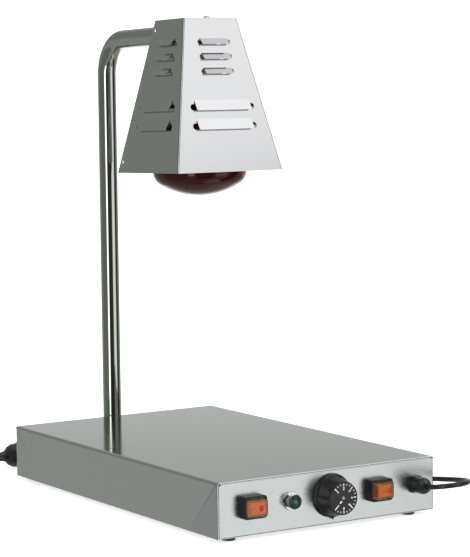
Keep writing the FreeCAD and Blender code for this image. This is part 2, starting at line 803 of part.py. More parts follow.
def back_section(a, b):
    t = shade_sheet
    side = a - t - 0.1
    right = [(side, b), (side, b - shade_flange), (side - t, b - shade_flange), (side - t, b - t)]
    left = [(-x, y) for x, y in reversed(right)]
    return right + left


def side_section(side):
    def section(a, b):
        t = shade_sheet
        near = -b + shade_wrap + shade_seam
        return [(side * a, near), (side * a, b), (side * (a - t), b), (side * (a - t), near)]
    return section


def face_frame(name, height):
    """Origin, across and up vectors on a shade face at a height above the rim."""
    z = shade_z + height
    lean_y = (shade_d0 - shade_d1) / 2
    lean_x = (shade_w0 - shade_w1) / 2
    if name == "front":
        origin, across, up = V(0, shade_y - back_half_depth(z), z), X, V(0, lean_y, shade_h)
    elif name == "back":
        origin, across, up = V(0, shade_y + back_half_depth(z), z), -X, V(0, -lean_y, shade_h)
    elif name == "left":
        origin, across, up = V(-half_width(z), shade_y, z), -Y, V(lean_x, 0, shade_h)
    else:
        origin, across, up = V(half_width(z), shade_y, z), Y, V(-lean_x, 0, shade_h)
    up.normalize()
    return origin, across, up


def louvre_flap(width, height, slot, end, slope):
    """Flap pressed out of the sheet: hinged along its top, closed at both ends above the slot."""
    t = shade_sheet
    angle = math.radians(slope)
    hinge = height / 2 + flap_hinge
    tip = -height / 2 - flap_overlap
    slot_top = slot - height / 2
    centre = V(0, hinge, louvre_bend)

    def on_bend(radius, share):
        return centre + V(0, -math.sin(angle * share), -math.cos(angle * share)) * radius

    def down_to(start, y):
        run = (start.y - y) / math.cos(angle)
        return V(0, y, start.z + run * math.sin(angle))

    def line(start, end):
        return Part.LineSegment(start, end).toShape()

    outer = [on_bend(louvre_bend, share) for share in (0, 0.5, 1)]
    inner = [on_bend(louvre_bend + t, share) for share in (0, 0.5, 1)]
    outer_tip = down_to(outer[2], tip)
    inner_tip = down_to(inner[2], tip)
    edges = [Part.Arc(*outer).toShape(), line(outer[2], outer_tip), line(outer_tip, inner_tip),
             line(inner_tip, inner[2]), Part.Arc(inner[2], inner[1], inner[0]).toShape(),
             line(inner[0], outer[0])]
    run = width - 2 * end
    flap = Part.Face(Part.Wire(edges)).extrude(V(run, 0, 0))
    flap.translate(V(-run / 2, 0, 0))
    flap = soften(flap, flap_corner, lambda p: abs(abs(p.x) - run / 2) < 0.01
                  and abs(p.y - tip) < 0.01)
    high = down_to(outer[2], slot_top)
    foot = V(0, slot_top, -t)
    cheek = [Part.Arc(*outer).toShape(), line(outer[2], high), line(high, foot),
             line(foot, inner[0]), line(inner[0], outer[0])]
    for side in (-1, 1):
        wall = Part.Face(Part.Wire(cheek)).extrude(V(t, 0, 0))
        wall.translate(V(side * (run - t) / 2 - t / 2, 0, 0))
        flap = flap.fuse(wall)
    return flap


def louvre_opening(width, height, slot, end):
    """Round-ended slot along the lower side, and above it the place that the flap came from."""
    low = stadium(width, slot, -3, 3)
    low.translate(V(0, (slot - height) / 2, 0))
    run = width - 2 * end - 0.1
    return low.fuse(block(-run / 2, run / 2, (slot - height) / 2, height / 2, -3, 3))


def with_louvres(panel, face, rows, trim=0.0):
    for width, height, slot, end, slope, z in rows:
        place = face_frame(face, z)
        if width > short_louvre_w:
            width -= trim
        panel = panel.cut(on_face(louvre_opening(width, height, slot, end), *place))
        panel = panel.fuse(on_face(louvre_flap(width, height, slot, end, slope), *place))
    return panel.removeSplitter()


def louvre_rows():
    rows = [(short_louvre_w, short_louvre_h, short_slot_h, short_louvre_end, short_flap_angle, z)
            for z in short_louvre_z]
    rows += [(long_louvre_w, long_louvre_h, long_slot_h, long_louvre_end, long_flap_angle, z)
             for z in long_louvre_z]
    return rows


def side_screw_places(side):
    """Points and outward normals of the screws near a side panel's back edge."""
    face = "left" if side < 0 else "right"
    places = []
    for height in (shade_h - shade_screw_ends[0], shade_screw_ends[1]):
        origin, across, up = face_frame(face, height)
        z = shade_z + height
        places.append((V(origin.x, shade_y + back_half_depth(z) - shade_screw_in, z),
                       across.cross(up)))
    return places


def flange_screw_places():
    """Four screws through the arm's flange, square to the back panel."""
    origin, across, up = face_frame("back", arm_z - shade_z)
    return [(origin + across * x + up * z, across.cross(up))
            for x, z in corners(arm_bolt_x, arm_bolt_z)]


def build_shade():
    rows = louvre_rows()
    rim, top = shade_z, shade_top_z
    front = column(front_section, rim, top, folded_outline)
    lip_y = shade_y - shade_d1 / 2
    lip_half = shade_w1 / 2 - 2 * shade_sheet - 0.2
    lip = block(-lip_half, lip_half, lip_y + 0.2, lip_y + 2 * top_screw_in,
                top - shade_sheet, top)
    top_screw = V(0, lip_y + top_screw_in, top + shade_sheet)
    hole = rod(shade_screw_r, V(top_screw.x, top_screw.y, top - 3), Z, 8)
    front = with_louvres(front.fuse(lip), "front", rows).cut(hole)
    back = with_louvres(column(back_section, rim, top), "back", rows[1:])
    arm_hole = rod(post_r + arm_hole_gap, V(0, post_y, arm_z), -Y, shade_back_off)
    side_holes = [rod(shade_screw_r, p - n * 6, n, 12)
                  for side in (-1, 1) for p, n in side_screw_places(side)]
    back_holes = [rod(shade_screw_r, p - n * 6, n, 12) for p, n in flange_screw_places()]
    back = back.cut(arm_hole).cut(group(side_holes + back_holes))
    add_head("shade_front", front)
    add_head("shade_back", back)
    for name, side in (("left", -1), ("right", 1)):
        panel = with_louvres(column(side_section(side), rim, top), name, rows, side_louvre_trim)
        add_head("shade_" + name, panel.cut(group(side_holes)))
    cover = block(-shade_w1 / 2, shade_w1 / 2, lip_y, lip_y + shade_d1, top, top + shade_sheet)
    add_head("shade_top", cover.cut(hole).cut(group(bracket_holes())))
    add_head("shade_screws", group([
        stand(dome_screw(shade_screw_head_r, shade_screw_head_h, shade_screw_r, shade_screw_l),
              p, n) for side in (-1, 1) for p, n in side_screw_places(side)]))
    add_head("shade_top_screw", stand(
        dome_screw(top_screw_head_r, top_screw_head_h, shade_screw_r, shade_screw_l),
        top_screw, Z))
    plate = on_face(round_block(arm_flange_w, arm_flange_h, arm_flange_t, arm_flange_corner),
                    *face_frame("back", arm_z - shade_z))
    plate = plate.cut(rod(post_r + 0.05, V(0, post_y, arm_z), -Y, shade_back_off))
    add_head("arm_flange", plate.cut(group(back_holes)))
    add_head("flange_screws", group([
        stand(dome_screw(shade_screw_head_r, shade_screw_head_h, shade_screw_r, shade_screw_l + 1),
              p + n * arm_flange_t, n) for p, n in flange_screw_places()]))


# ---- lamp ----
def bulb_profile(grow):
    """Outline of the reflector bulb as edges in the XZ plane, from the front's middle to the neck."""
    r = bulb_r + grow
    base = shade_z - bulb_out - grow
    dome = bulb_dome_r
    edge = bulb_edge_r
    centre_z = base + dome
    edge_x = r - edge
    edge_z = centre_z - math.sqrt((dome - edge) ** 2 - edge_x ** 2)
    lean = math.atan2(edge_x, centre_z - edge_z)
    touch = V(dome * math.sin(lean), 0, centre_z - dome * math.cos(lean))
    side = V(r, 0, edge_z)
    mid_a = (math.pi / 2 - lean) / 2
    mid = V(edge_x + edge * math.cos(mid_a), 0, edge_z - edge * math.sin(mid_a))
    neck = V(bulb_neck_r + grow, 0, shade_z - bulb_out + bulb_neck_z)
    top = V(bulb_neck_r + grow, 0, shade_z - bulb_out + bulb_len)
    half = V(dome * math.sin(lean / 2), 0, centre_z - dome * math.cos(lean / 2))
    flank = V(0.72 * r + 0.28 * neck.x, 0, 0.42 * edge_z + 0.58 * neck.z)
    edges = [Part.Arc(V(0, 0, base), half, touch).toShape(),
             Part.Arc(touch, mid, side).toShape(),
             Part.Arc(side, flank, neck).toShape(),
             Part.LineSegment(neck, top).toShape()]
    closing = [Part.LineSegment(top, V(0, 0, top.z)).toShape(),
               Part.LineSegment(V(0, 0, top.z), V(0, 0, base)).toShape()]
    return Part.Face(Part.Wire(edges + closing))


def bracket_holes():
    return [rod(shade_screw_r, V(side * (bracket_half + 6), shade_y, shade_top_z - 3), Z, 8)
            for side in (-1, 1)]


def build_lamp():
    axis = V(0, shade_y, 0)
    outer = bulb_profile(0).revolve(V(0, 0, 0), Z, 360)
    inner = bulb_profile(-bulb_wall).revolve(V(0, 0, 0), Z, 360)
    glass = outer.cut(inner)
    glass.translate(axis)
    add_head("bulb_glass", glass)
    neck_top = shade_z - bulb_out + bulb_len
    ridges = [(0, 0), (bulb_neck_r - 1, 0)]
    steps = 6
    for i in range(steps):
        z = 2 + i * (cap_len - 7) / steps
        ridges += [(cap_r - cap_ridge, z), (cap_r, z + 1.2)]
    ridges += [(cap_r - 1, cap_len - 5), (cap_r - 5, cap_len - 2), (4.5, cap_len), (0, cap_len)]
    add_head("bulb_cap", turned(ridges, V(0, shade_y, neck_top), Z))
    stem = rod(4.5, V(0, shade_y, neck_top - 62), Z, 62 - bulb_wall)
    coil = Part.makeTorus(12, 1.6, V(0, shade_y, neck_top - 66), Z)
    posts = [rod(0.8, V(side * 3.4, shade_y, neck_top - 66), V(side * 8.6, 0, 0), 8.6)
             for side in (-1, 1)]
    legs = [rod(0.8, V(side * 3.4, shade_y, neck_top - 67), Z, 8) for side in (-1, 1)]
    add_head("bulb_filament", stem.multiFuse([coil] + posts + legs).removeSplitter())
    start = neck_top - holder_over
    bore_r = max(cap_r, bulb_neck_r) + 0.3
    outline = [(bore_r, 0), (holder_r, 0), (holder_r, 24), (holder_neck_r + 3, 31),
               (holder_neck_r, 35), (holder_neck_r, holder_len), (0, holder_len),
               (0, holder_len - holder_wall), (cap_r + 0.3, holder_len - holder_wall),
               (cap_r + 0.3, holder_over + 6), (bore_r, holder_over + 4)]
    add_head("lampholder", turned(outline, V(0, shade_y, start), Z))
    seat = start + holder_len
    t = bracket_t
    inner_half = bracket_half - t
    y0, y1 = shade_y - bracket_w / 2, shade_y + bracket_w / 2
    under_top = shade_top_z - 0.05
    parts = [block(-bracket_half, bracket_half, y0, y1, seat, seat + t)]
    for side in (-1, 1):
        low, high = sorted((side * inner_half, side * bracket_half))
        parts.append(block(low, high, y0, y1, seat, under_top))
        low, high = sorted((side * inner_half, side * (bracket_half + 12)))
        parts.append(block(low, high, y0, y1, under_top - t, under_top))
    bracket = parts[0].multiFuse(parts[1:]).cut(group(bracket_holes()))
    add_head("lampholder_bracket", bracket.removeSplitter())
    add_head("bracket_rivets", group([
        rod(shade_screw_r, V(side * (bracket_half + 6), shade_y, under_top - t - 1.2), Z,
            t + shade_sheet + 1.25).fuse(
            rod(2.6, V(side * (bracket_half + 6), shade_y, under_top - t - 1.2), Z, 1.2))
        for side in (-1, 1)]))
    add("lamp_lead", sweep(lead_path(), lead_r))


# ---- power cord ----
def cord_route():
    """Corner points of the cord from the gland to the coil, round the right side."""
    mouth = front_y - (gland_hex_t + gland_nut_l + gland_dome_l - 2)
    floor = cord_r
    near_gland = [(0.0, 0.0, 42.0), (0.0, -12.0, 43.2), (4.3, -21.6, 44.7), (12.1, -28.6, 46.0),
                  (22.1, -31.9, 46.7), (33.0, -30.7, 46.6), (46.4, -23.9, 45.8),
                  (58.6, -12.1, 44.2), (66.5, 4.5, 42.2)]
    beside_base = [(39.0, -0.5, 39.6), (37.0, 20.5, 37.2), (32.0, 43.5, 35.0),
                   (26.0, 71.5, 30.5), (21.5, 103.5, 21.5), (19.5, 139.5, 11.0),
                   (20.1, 177.5, 4.4), (22.9, 217.5, floor), (27.1, 263.5, floor),
                   (30.7, 315.5, floor), (31.9, 369.5, floor), (29.9, 423.5, floor),
                   (24.9, 473.5, floor), (17.5, 519.5, floor)]
    round_coil = [(108.0, -74.0), (93.0, -38.0), (71.0, -8.0), (44.0, 16.0), (22.7, 32.2)]
    return ([V(gland_x + x, mouth + y, z) for x, y, z in near_gland]
            + [V(half_w + x, front_y + y, z) for x, y, z in beside_base]
            + [V(coil_x + x, coil_y + y, floor) for x, y in round_coil])


def tail_route():
    """From the coil, round behind the plug, into its tail."""
    floor = cord_r
    from_coil = [(-3.4, 39.2, 3 * cord_r), (-26.0, 39.0, 8.6), (-54.0, 41.5, 4.4),
                 (-89.0, 43.5, floor), (-125.0, 41.6, floor), (-160.0, 38.8, floor)]
    to_plug = [(-28.0, 62.2, 3.5), (-56.0, 58.5, 4.5), (-77.0, 48.5, 6.5), (-88.5, 32.0, 9.5),
               (-87.0, 13.5, 13.0), (-73.0, 2.0, 17.2),
               (4.0 - plug_len - plug_tail_len, 0.0, plug_r)]
    return ([V(coil_x + x, coil_y + y, z) for x, y, z in from_coil]
            + [V(plug_x + x, plug_y + y, z) for x, y, z in to_plug])


def cord_edges(points, name):
    """Straight runs joined by tangent arcs as large as the runs allow."""
    edges = []
    start = points[0]
    radii = []
    for before, corner, after in zip(points, points[1:], points[2:]):
        a = before - corner
        b = after - corner
        turn = math.pi - a.getAngle(b)
        trim = 0.45 * min(a.Length, b.Length)
        radius = trim / math.tan(turn / 2)
        radii.append(round(radius, 1))
        a.normalize()
        b.normalize()
        enter = corner + a * trim
        leave = corner + b * trim
        bisector = a + b
        bisector.normalize()
        centre = corner + bisector * (radius / math.cos(turn / 2))
        middle = centre - bisector * radius
        edges.append(Part.LineSegment(start, enter).toShape())
        edges.append(Part.Arc(enter, middle, leave).toShape())
        start = leave
    edges.append(Part.LineSegment(start, points[-1]).toShape())
    length = sum(e.Length for e in edges)
    print(name, "radii", radii, "length", round(length, 1))
    return edges, length


def cord_tube(points, name):
    edges, length = cord_edges(points, name)
    tube = sweep(edges, cord_r)
    expected = math.pi * cord_r ** 2 * length
    print(name, "volume over section times length", round(tube.Volume / expected, 4))
    return tube


def build_cord():
    add("power_cord", cord_tube(cord_route(), "power_cord"))
    add("cord_tail", cord_tube(tail_route(), "cord_tail"))
    add("cord_coil", pipe(coil_r + coil_half_w, coil_r - coil_half_w, V(coil_x, coil_y, 0),
                          Z, coil_h))


def build_plug():
    """Round plug lying on its side with its tail to the left."""
    left = V(-1, 0, 0)
    base = V(plug_x, plug_y, plug_r)
    tail_end = plug_len + plug_tail_len
    profile = [(0, 0), (plug_r - 1.5, 0), (plug_r, 1.5), (plug_r, 14), (plug_r - 1.6, 18),
               (plug_r - 2.2, 24), (plug_r - 5.0, 30), (plug_tail_r + 2.2, plug_len),
               (plug_tail_r + 0.6, plug_len + 4), (plug_tail_r, plug_len + 7),
               (plug_tail_r - 0.8, tail_end), (0, tail_end)]
    body = turned(profile, base, left)
    socket = rod(cord_r + 0.02, base + left * (tail_end - 8), left, 8)
    add("plug_body", body.cut(socket))
    pins = []
    for side in (-1, 1):
        root = base + V(0, side * plug_pin_gap / 2, 0)
        pin = rod(plug_pin_r, root, X, plug_pin_l)
        tip = Part.makeSphere(plug_pin_r, root + X * plug_pin_l)
        pins.append(pin.fuse(tip))
    add("plug_pins", group(pins))


def main():
    build_body()
    build_heating()
    build_switch(1, switch_1_x, -1)
    build_switch(2, switch_2_x, 1)
    build_pilot()
    build_knob()
    build_gland()
    build_post()
    build_shade()
    build_lamp()
    build_cord()
    build_plug()
    os.makedirs("parts", exist_ok=True)
    for name, shape in nodes.items():
        shape.exportStep("parts/" + name + ".step")
    print(len(nodes), "nodes")


main()
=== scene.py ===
"""Looks of the heat lamp warmer, laid out as a Blender add-on and run as a script.

Metres, +Z up, the control panel faces -Y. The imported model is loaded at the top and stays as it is:
its nodes get finishes, and the pieces made here ride on its bodies.
"""

import math

import bpy
import numpy as np
from mathutils import Matrix, Vector


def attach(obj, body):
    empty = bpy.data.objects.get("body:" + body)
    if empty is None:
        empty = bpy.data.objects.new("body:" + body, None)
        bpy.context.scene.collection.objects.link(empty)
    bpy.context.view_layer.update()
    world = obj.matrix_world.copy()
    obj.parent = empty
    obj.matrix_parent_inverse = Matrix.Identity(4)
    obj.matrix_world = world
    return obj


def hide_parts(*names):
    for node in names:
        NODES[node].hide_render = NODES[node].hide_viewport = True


bl_info = {
    "name": "Heat Lamp Warmer Looks",
    "version": (1, 0, 0),
    "blender": (4, 5, 0),
    "location": "View3D > Sidebar > Warmer",
    "description": "Finishes, cords, dial and stage for a heat lamp warmer",
    "category": "Object",
}

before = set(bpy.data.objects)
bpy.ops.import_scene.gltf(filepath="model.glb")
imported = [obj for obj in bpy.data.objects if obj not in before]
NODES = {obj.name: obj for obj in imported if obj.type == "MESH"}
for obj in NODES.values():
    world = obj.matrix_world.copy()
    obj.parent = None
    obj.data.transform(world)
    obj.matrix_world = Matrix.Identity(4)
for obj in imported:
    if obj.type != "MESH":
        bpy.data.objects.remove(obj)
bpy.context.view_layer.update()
MM = 0.001

BASE = "warmer"
KNOB = "knob"
# Painted reflection: the base's front panel is tinted bluer than the plate's steel, as it looks where
# it reflects the lit window
PANEL_PAINTED_REFLECTION = (0.61, 0.63, 0.64)
# Painted reflection: the shade's one steel gets two tints, neutral where the front reflects the lit
# window, greener and darker where the sides reflect the grey room
SHADE_FRONT_PAINTED_REFLECTION = (0.61, 0.60, 0.625)
SHADE_SIDE_PAINTED_REFLECTION = (0.575, 0.62, 0.565)
FRONT = -0.26555            # control panel's face
CONTROLS = 0.042            # height of the controls


# ---- node and finish helpers ----
class Finish:
    """A material on Object coordinates: constant values on the sockets, patterns from noise."""

    def __init__(self, name, colour, roughness, metallic=0.0, **sockets):
        self.material = bpy.data.materials.new(name)
        self.material.use_nodes = True
        self.tree = self.material.node_tree
        self.shader = self.tree.nodes["Principled BSDF"]
        self.colour = colour
        self.set("Base Color", (*colour, 1.0))
        self.set("Roughness", roughness)
        self.set("Metallic", metallic)
        for socket, value in sockets.items():
            self.set(socket.replace("_", " "), value)
        self.place = self.tree.nodes.new("ShaderNodeTexCoord").outputs["Object"]

    def set(self, socket, value):
        self.shader.inputs[socket].default_value = value

    def link(self, output, socket):
        self.tree.links.new(output, self.shader.inputs[socket])

    def node(self, kind, feeds=None, **settings):
        made = self.tree.nodes.new(kind)
        for key, value in settings.items():
            setattr(made, key, value)
        for socket, source in (feeds or {}).items():
            if isinstance(source, bpy.types.NodeSocket):
                self.tree.links.new(source, made.inputs[socket])
            else:
                made.inputs[socket].default_value = source
        return made

    def noise(self, cells_per_m, stretch=(1.0, 1.0, 1.0), detail=2.0):
        """Noise of about this many cells in a metre; stretch above 1 draws it out along an axis."""
        scale = tuple(cells_per_m / s for s in stretch)
        moved = self.node("ShaderNodeMapping", {"Vector": self.place, "Scale": scale})
        grain = self.node("ShaderNodeTexNoise",
                          {"Vector": moved.outputs[0], "Scale": 1.0, "Detail": detail})
        return grain.outputs[0]

    def spread(self, value, low, high):
        """Noise between about 0.3 and 0.7 spread over low to high."""
        made = self.node("ShaderNodeMapRange", {"Value": value, "From Min": 0.3, "From Max": 0.7,
                                                "To Min": low, "To Max": high})
        return made.outputs[0]

    def vary_gloss(self, value, low, high):
        self.link(self.spread(value, low, high), "Roughness")

    def vary_colour(self, value, dark, light):
        """Base colour scaled between dark and light by a pattern."""
        self.mix_colour(self.spread(value, 0.0, 1.0), [c * dark for c in self.colour],
                        [min(c * light, 1.0) for c in self.colour])

    def mix_colour(self, share, first, second):
        """Base colour from first at share 0 to second at share 1."""
        mix = self.node("ShaderNodeMixRGB", {"Fac": share, "Color1": (*first, 1.0),
                                             "Color2": (*second, 1.0)})
        self.link(mix.outputs[0], "Base Color")

    def relief(self, value, depth_mm, strength=1.0):
        bump = self.node("ShaderNodeBump", {"Height": value, "Distance": depth_mm * MM,
                                            "Strength": strength})
        self.link(bump.outputs[0], "Normal")


def satin_steel(name, colour, along, roughness=0.2):
    """Stainless sheet with a fine satin grain drawn out along one axis."""
    finish = Finish(name, colour, roughness, 1.0)
    stretch = [1.0, 1.0, 1.0]
    stretch["XYZ".index(along)] = 14.0
    grain = finish.noise(2600.0, tuple(stretch), 3.0)
    finish.vary_gloss(grain, roughness - 0.05, roughness + 0.05)
    finish.vary_colour(grain, 0.95, 1.03)
    finish.relief(grain, 0.006, 0.5)
    return finish.material


def bright_steel(name, colour, roughness=0.07):
    """Polished tube or trim with faint drawing marks."""
    finish = Finish(name, colour, roughness, 1.0)
    marks = finish.noise(900.0, (1.0, 1.0, 30.0), 2.0)
    finish.vary_gloss(marks, roughness * 0.7, roughness * 1.5)
    finish.vary_colour(marks, 0.96, 1.02)
    return finish.material


def plated_steel(name, colour, roughness=0.3):
    """Zinc or nickel plated fixings, a little uneven."""
    finish = Finish(name, colour, roughness, 1.0)
    patch = finish.noise(700.0, detail=3.0)
    finish.vary_gloss(patch, roughness - 0.08, roughness + 0.1)
    finish.vary_colour(patch, 0.88, 1.05)
    finish.relief(patch, 0.02, 0.4)
    return finish.material


def moulded(name, colour, roughness, grain_mm=0.02, **sockets):
    """Moulded plastic or rubber with a fine spark-eroded grain."""
    finish = Finish(name, colour, roughness, 0.0, **sockets)
    grain = finish.noise(2200.0, detail=2.0)
    finish.vary_gloss(grain, roughness - 0.05, roughness + 0.07)
    finish.vary_colour(finish.noise(60.0), 0.92, 1.08)
    finish.relief(grain, grain_mm, 0.5)
    return finish.material


def wear(material, *names):
    """Give one finish to CAD nodes."""
    for name in names:
        node = NODES[name]
        node.data.materials.clear()
        node.data.materials.append(material)


# ---- mesh helpers ----
def add_piece(name, points, faces, material, smooth=True):
    """A mesh object at the origin, with its place in its mesh."""
    mesh = bpy.data.meshes.new(name)
    mesh.from_pydata(np.asarray(points).reshape(-1, 3).tolist(), [], faces)
    mesh.validate()
    mesh.polygons.foreach_set("use_smooth", [smooth] * len(mesh.polygons))
    mesh.materials.append(material)
    made = bpy.data.objects.new(name, mesh)
    bpy.context.scene.collection.objects.link(made)
    return made


def grid_faces(rows, columns, closed=True):
    """Quads of a rows x columns grid; closed joins the last column to the first."""
    wide = columns if closed else columns - 1
    i, j = np.meshgrid(np.arange(rows - 1), np.arange(wide), indexing="ij")
    k = (j + 1) % columns
    quads = np.stack([i * columns + j, i * columns + k, (i + 1) * columns + k,
                      (i + 1) * columns + j], -1)
    return quads.reshape(-1, 4).tolist()


def lathe(outline, steps=96):
    """Turned surface: each (radius, height) point becomes a ring, radius times (cos, sin)."""
    outline = np.asarray(outline, float)
    angle = np.linspace(0, 2 * math.pi, steps, endpoint=False)
    r, h = outline[:, :1], outline[:, 1:]
    rings = np.stack([r * np.cos(angle), r * np.sin(angle), h + 0 * angle], -1)
    faces = grid_faces(len(outline), steps)
    if outline[0, 0] > 1e-9:
        faces.append(list(range(steps))[::-1])
    if outline[-1, 0] > 1e-9:
        first = (len(outline) - 1) * steps
        faces.append(list(range(first, first + steps)))
    return rings, faces


NUMERALS = (
    [(0.25, 0.8), (0.55, 1.0), (0.55, 0.0)],
    [(0.1, 0.75), (0.45, 1.0), (0.85, 0.72), (0.1, 0.0), (0.9, 0.0)],
    [(0.1, 0.95), (0.85, 0.95), (0.45, 0.58), (0.85, 0.35), (0.5, 0.0), (0.1, 0.1)],
    [(0.7, 0.0), (0.7, 1.0), (0.1, 0.3), (0.95, 0.3)],
    [(0.85, 1.0), (0.2, 1.0), (0.15, 0.55), (0.6, 0.6), (0.88, 0.3), (0.55, 0.0), (0.1, 0.08)],
    [(0.8, 1.0), (0.3, 0.7), (0.12, 0.3), (0.5, 0.0), (0.88, 0.3), (0.5, 0.55), (0.15, 0.35)])
NUMERAL_W = 0.0024
NUMERAL_H = 0.0036
NUMERAL_LINE = 0.00075
INK = 0.00012               # how far a printed mark stands out


class Strokes:
    """Printed marks: flat strips carried along lines in a plane, each a thin closed box."""

    def __init__(self, width):
        self.width = width
        self.lines = []

    def add(self, line, width=None):
        self.lines.append((np.asarray(line, float), width or self.width))

    def bar(self, turn, inner, outer, width):
        """Radial bar, turned clockwise from the top as seen from the front."""
        way = np.array([math.sin(turn), math.cos(turn)])
        self.add([way * inner, way * outer], width)

    def numeral(self, shape, turn, radius):
        """Upright along the radius, with its middle at that radius."""
        up = np.array([math.sin(turn), math.cos(turn)])
        right = np.array([math.cos(turn), -math.sin(turn)])
        shape = np.asarray(shape) - 0.5
        self.add(up * radius + shape[:, :1] * NUMERAL_W * right + shape[:, 1:] * NUMERAL_H * up)

    def piece(self, name, origin, tip, ink, out=0.0):
        """Strips on a face towards -Y: each point is origin + x across + z up + INK out."""
        points, faces = [], []
        for line, width in self.lines:
            along = np.gradient(line, axis=0)
            along /= np.linalg.norm(along, axis=1)[:, None]
            across = np.stack([-along[:, 1], along[:, 0]], -1) * width / 2
            ring = np.stack([line + across, line - across, line - across, line + across], 1)
            depth = np.array([0.0, 0.0, INK, INK])
            flat = np.stack([ring[..., 0], -out - depth + 0 * ring[..., 0], ring[..., 1]], -1)
            first = len(points)
            points += flat.reshape(-1, 3).tolist()
            rows = grid_faces(len(line), 4)
            ends = [[3, 2, 1, 0], [4 * (len(line) - 1) + k for k in range(4)]]
            faces += [[first + k for k in face] for face in rows + ends]
        turn = np.array(Matrix.Rotation(tip, 3, "Z"))
        placed = np.asarray(points) @ turn.T + np.array(origin)
        return add_piece(name, placed, faces, ink, smooth=False)


# ---- settings ----
class WarmerSettings(bpy.types.PropertyGroup):
    """Sizes and colours that a user would change."""

    steel_colour: bpy.props.FloatVectorProperty(
        name="Steel", description="Colour of the stainless sheet", subtype="COLOR",
        default=(0.60, 0.63, 0.60), min=0.0, max=1.0)
    rocker_colour: bpy.props.FloatVectorProperty(
        name="Rocker", description="Colour of the lit rockers", subtype="COLOR",
        default=(0.84, 0.13, 0.018), min=0.0, max=1.0)
    cord_diameter: bpy.props.FloatProperty(
        name="Cord diameter", description="Outside diameter of the power cord",
        default=0.0066, min=0.004, max=0.012, unit="LENGTH")
    cord_length: bpy.props.FloatProperty(
        name="Cord length", description="Power cord from the gland to the plug",
        default=1.86, min=0.5, max=5.0, unit="LENGTH")
    camera_distance: bpy.props.FloatProperty(
        name="Camera distance", description="From the camera to the point it looks at",
        default=2.9, min=1.0, max=10.0, unit="LENGTH")


def settings():
    return bpy.context.scene.warmer


# ---- stage ----
# Camera: turned from +Y towards +X, tipped down, and rolled; it looks at AIM.
CAMERA_AZIMUTH = math.radians(32.51)
CAMERA_FALL = math.radians(5.39)
CAMERA_ROLL = math.radians(0.65)
CAMERA_LENS = 143.306
AIM = Vector((0.0038, -0.0488, 0.2951))


def camera_matrix(distance):
    """The camera looks along forward, with its right side tipped a little down."""
    a, e, r = CAMERA_AZIMUTH, CAMERA_FALL, CAMERA_ROLL
    forward = Vector((math.sin(a) * math.cos(e), math.cos(a) * math.cos(e), -math.sin(e)))
    level = Vector((math.cos(a), -math.sin(a), 0.0))
    upright = level.cross(forward)
    right = level * math.cos(r) - upright * math.sin(r)
    up = upright * math.cos(r) + level * math.sin(r)
    turn = Matrix((right, up, -forward)).transposed().to_4x4()
    return Matrix.Translation(AIM - forward * distance) @ turn


# Surroundings. A window: (azimuths), (heights), soft edge in degrees, strength.
ROOM = (-9.0, 12.0, 0.38, 0.27)         # strength from below the first height to above the second
OVERHEAD = ((-180.0, 180.0), (34.0, 100.0), 8.0, 0.46)
DARK_GAPS = (((-180.0, -139.0), (-60.0, 50.0), 3.0, 0.88),
             ((103.0, 131.0), (-60.0, 50.0), 3.0, 0.88),
             ((174.0, 180.0), (-60.0, 50.0), 3.0, 0.88),
             ((-112.0, -44.0), (-60.0, 40.0), 3.0, 0.42))
LIT_WINDOWS = (((134.0, 172.0), (17.0, 78.0), 3.0, 1.38),
               ((110.0, 176.0), (34.0, 100.0), 4.0, 1.45),
               ((78.0, 116.0), (42.0, 100.0), 4.0, 0.95),
               ((136.0, 170.0), (-34.0, 6.0), 3.0, 1.3),
               ((-135.0, -119.0), (-30.0, 50.0), 2.0, 3.2))
WALL = (1.5, 11.5, 1.1, 0.42)           # pale wall behind, as ROOM
WALL_SPAN = ((4.0, 62.0), (-30.0, 60.0), 4.0, 1.0)
ROOM_TINT = (0.975, 1.0, 0.975)
LAMPS = (("key", (-0.6, -2.6, 2.6), 1.8, 26.0),     # place, size in metres, watts
         ("fill", (2.6, -1.2, 2.2), 1.8, 14.0),
         ("top", (0.0, 0.2, 3.2), 2.2, 22.0))
FLOOR_R = 14.0
COVE_R = 2.0
WALL_TOP = 9.0


